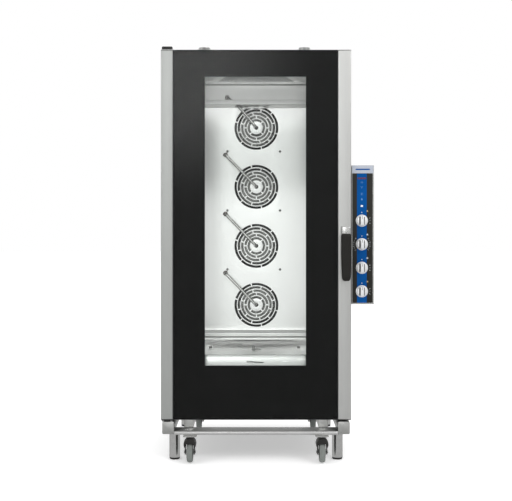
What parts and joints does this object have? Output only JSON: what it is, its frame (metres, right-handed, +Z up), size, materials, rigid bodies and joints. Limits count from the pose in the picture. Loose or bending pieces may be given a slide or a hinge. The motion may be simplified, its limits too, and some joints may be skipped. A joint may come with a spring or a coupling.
{
  "type": "combi steamer oven",
  "caption": "Tall floor-standing combi steamer oven: side-hung glass door, fan grilles, water injection pipes, control box with knobs, base frame with feet and castors.",
  "frame": {"origin": "middle of the footprint at floor level", "axes": "+Z up; +Y towards the oven's back, so the door faces -Y; +X towards the user's right"},
  "size_m": [0.9495, 0.93, 1.883],
  "materials": {
    "stainless": "satin",
    "cavity_steel": "bright",
    "dark_steel": "heat-darkened",
    "aluminium": "satin anodised",
    "black_steel": "gloss black",
    "clear_glass": "clear",
    "black_plastic": "satin black",
    "castor_rubber": "matt grey",
    "silicone": "matt black",
    "motor_paint": "satin grey",
    "graphite": "satin graphite film",
    "silver_knob": "silver"
  },
  "bodies": {
    "oven": {"base_frame": "stainless", "bottom_plate": "stainless", "left_side_panel": "stainless", "right_side_panel": "stainless", "top_panel": "stainless", "rear_cover": "stainless", "front_frame": "stainless", "door_seal": "silicone", "vent_chimney_left": "stainless", "vent_chimney_right": "stainless", "water_valve": "black_plastic", "cavity_wrap": "cavity_steel", "cavity_rear_wall": "cavity_steel", "cavity_floor": "cavity_steel", "fan_deflector": "cavity_steel", "tray_rack_left": "stainless", "tray_rack_right": "stainless", "fan_motor_1": "motor_paint", "fan_motor_2": "motor_paint", "fan_motor_3": "motor_paint", "fan_motor_4": "motor_paint", "ring_heater_1": "dark_steel", "ring_heater_2": "dark_steel", "ring_heater_3": "dark_steel", "ring_heater_4": "dark_steel", "injection_pipe_1": "stainless", "injection_pipe_2": "stainless", "injection_pipe_3": "stainless", "injection_pipe_4": "stainless", "control_housing": "stainless", "control_fascia": "graphite", "hinge_top": "black_plastic", "hinge_bottom": "black_plastic"},
    "door": {"door_profile_left": "aluminium", "door_profile_right": "aluminium", "door_frame": "black_steel", "door_outer_glass": "clear_glass", "door_inner_glass": "clear_glass", "handle_boss": "aluminium"},
    "handle": {"door_handle": "black_plastic"},
    "knob_1": {"control_knob_1": "silver_knob"},
    "knob_2": {"control_knob_2": "silver_knob"},
    "knob_3": {"control_knob_3": "silver_knob"},
    "knob_4": {"control_knob_4": "silver_knob"},
    "fan_1": {"fan_wheel_1": "stainless"},
    "fan_2": {"fan_wheel_2": "stainless"},
    "fan_3": {"fan_wheel_3": "stainless"},
    "fan_4": {"fan_wheel_4": "stainless"},
    "castor_swivel_front_left": {"castor_fork_front_left": "black_plastic"},
    "castor_roll_front_left": {"castor_wheel_front_left": "castor_rubber"},
    "levelling_front_left": {"foot_front_left": "black_plastic"},
    "castor_swivel_front_right": {"castor_fork_front_right": "black_plastic"},
    "castor_roll_front_right": {"castor_wheel_front_right": "castor_rubber"},
    "levelling_front_right": {"foot_front_right": "black_plastic"},
    "castor_swivel_rear_left": {"castor_fork_rear_left": "black_plastic"},
    "castor_roll_rear_left": {"castor_wheel_rear_left": "castor_rubber"},
    "levelling_rear_left": {"foot_rear_left": "black_plastic"},
    "castor_swivel_rear_right": {"castor_fork_rear_right": "black_plastic"},
    "castor_roll_rear_right": {"castor_wheel_rear_right": "castor_rubber"},
    "levelling_rear_right": {"foot_rear_right": "black_plastic"}
  },
  "joints": [
    {"name": "door_hinge", "type": "hinge", "parent": "oven", "child": "door", "pos_m": [-0.4465, -0.3725, 1], "axis": [0, 0, -1], "range_deg": [0, 120]},
    {"name": "handle_turn", "type": "hinge", "parent": "door", "child": "handle", "pos_m": [0.3465, -0.405, 1.031], "axis": [0, 1, 0], "range_deg": [0, 85]},
    {"name": "knob_1_turn", "type": "hinge", "parent": "oven", "child": "knob_1", "pos_m": [0.4212, -0.39, 1.073], "axis": [0, 1, 0], "range_deg": [0, 300]},
    {"name": "knob_2_turn", "type": "hinge", "parent": "oven", "child": "knob_2", "pos_m": [0.4212, -0.39, 0.968], "axis": [0, 1, 0], "range_deg": [0, 300]},
    {"name": "knob_3_turn", "type": "hinge", "parent": "oven", "child": "knob_3", "pos_m": [0.4212, -0.39, 0.863], "axis": [0, 1, 0], "range_deg": [0, 300]},
    {"name": "knob_4_turn", "type": "hinge", "parent": "oven", "child": "knob_4", "pos_m": [0.4212, -0.39, 0.758], "axis": [0, 1, 0], "range_deg": [0, 300]},
    {"name": "fan_1_spin", "type": "hinge", "parent": "oven", "child": "fan_1", "pos_m": [-0.049, 0.3, 1.5365], "axis": [0, 1, 0], "continuous": true},
    {"name": "fan_2_spin", "type": "hinge", "parent": "oven", "child": "fan_2", "pos_m": [-0.049, 0.3, 1.2415], "axis": [0, 1, 0], "continuous": true},
    {"name": "fan_3_spin", "type": "hinge", "parent": "oven", "child": "fan_3", "pos_m": [-0.049, 0.3, 0.9465], "axis": [0, 1, 0], "continuous": true},
    {"name": "fan_4_spin", "type": "hinge", "parent": "oven", "child": "fan_4", "pos_m": [-0.049, 0.3, 0.6515], "axis": [0, 1, 0], "continuous": true},
    {"name": "castor_front_left_swivel", "type": "hinge", "parent": "oven", "child": "castor_swivel_front_left", "pos_m": [-0.344, -0.398, 0.1], "axis": [0, 0, 1], "continuous": true},
    {"name": "castor_front_left_roll", "type": "hinge", "parent": "castor_swivel_front_left", "child": "castor_roll_front_left", "pos_m": [-0.344, -0.416, 0.0475], "axis": [1, 0, 0], "continuous": true},
    {"name": "foot_front_left_screw", "type": "slide", "parent": "oven", "child": "levelling_front_left", "axis": [0, 0, 1], "range_m": [-0.02, 0]},
    {"name": "castor_front_right_swivel", "type": "hinge", "parent": "oven", "child": "castor_swivel_front_right", "pos_m": [0.242, -0.398, 0.1], "axis": [0, 0, 1], "continuous": true},
    {"name": "castor_front_right_roll", "type": "hinge", "parent": "castor_swivel_front_right", "child": "castor_roll_front_right", "pos_m": [0.242, -0.416, 0.0475], "axis": [1, 0, 0], "continuous": true},
    {"name": "foot_front_right_screw", "type": "slide", "parent": "oven", "child": "levelling_front_right", "axis": [0, 0, 1], "range_m": [-0.02, 0]},
    {"name": "castor_rear_left_swivel", "type": "hinge", "parent": "oven", "child": "castor_swivel_rear_left", "pos_m": [-0.344, 0.33, 0.1], "axis": [0, 0, 1], "continuous": true},
    {"name": "castor_rear_left_roll", "type": "hinge", "parent": "castor_swivel_rear_left", "child": "castor_roll_rear_left", "pos_m": [-0.344, 0.312, 0.0475], "axis": [1, 0, 0], "continuous": true},
    {"name": "foot_rear_left_screw", "type": "slide", "parent": "oven", "child": "levelling_rear_left", "axis": [0, 0, 1], "range_m": [-0.02, 0]},
    {"name": "castor_rear_right_swivel", "type": "hinge", "parent": "oven", "child": "castor_swivel_rear_right", "pos_m": [0.242, 0.33, 0.1], "axis": [0, 0, 1], "continuous": true},
    {"name": "castor_rear_right_roll", "type": "hinge", "parent": "castor_swivel_rear_right", "child": "castor_roll_rear_right", "pos_m": [0.242, 0.312, 0.0475], "axis": [1, 0, 0], "continuous": true},
    {"name": "foot_rear_right_screw", "type": "slide", "parent": "oven", "child": "levelling_rear_right", "axis": [0, 0, 1], "range_m": [-0.02, 0]}
  ]
}
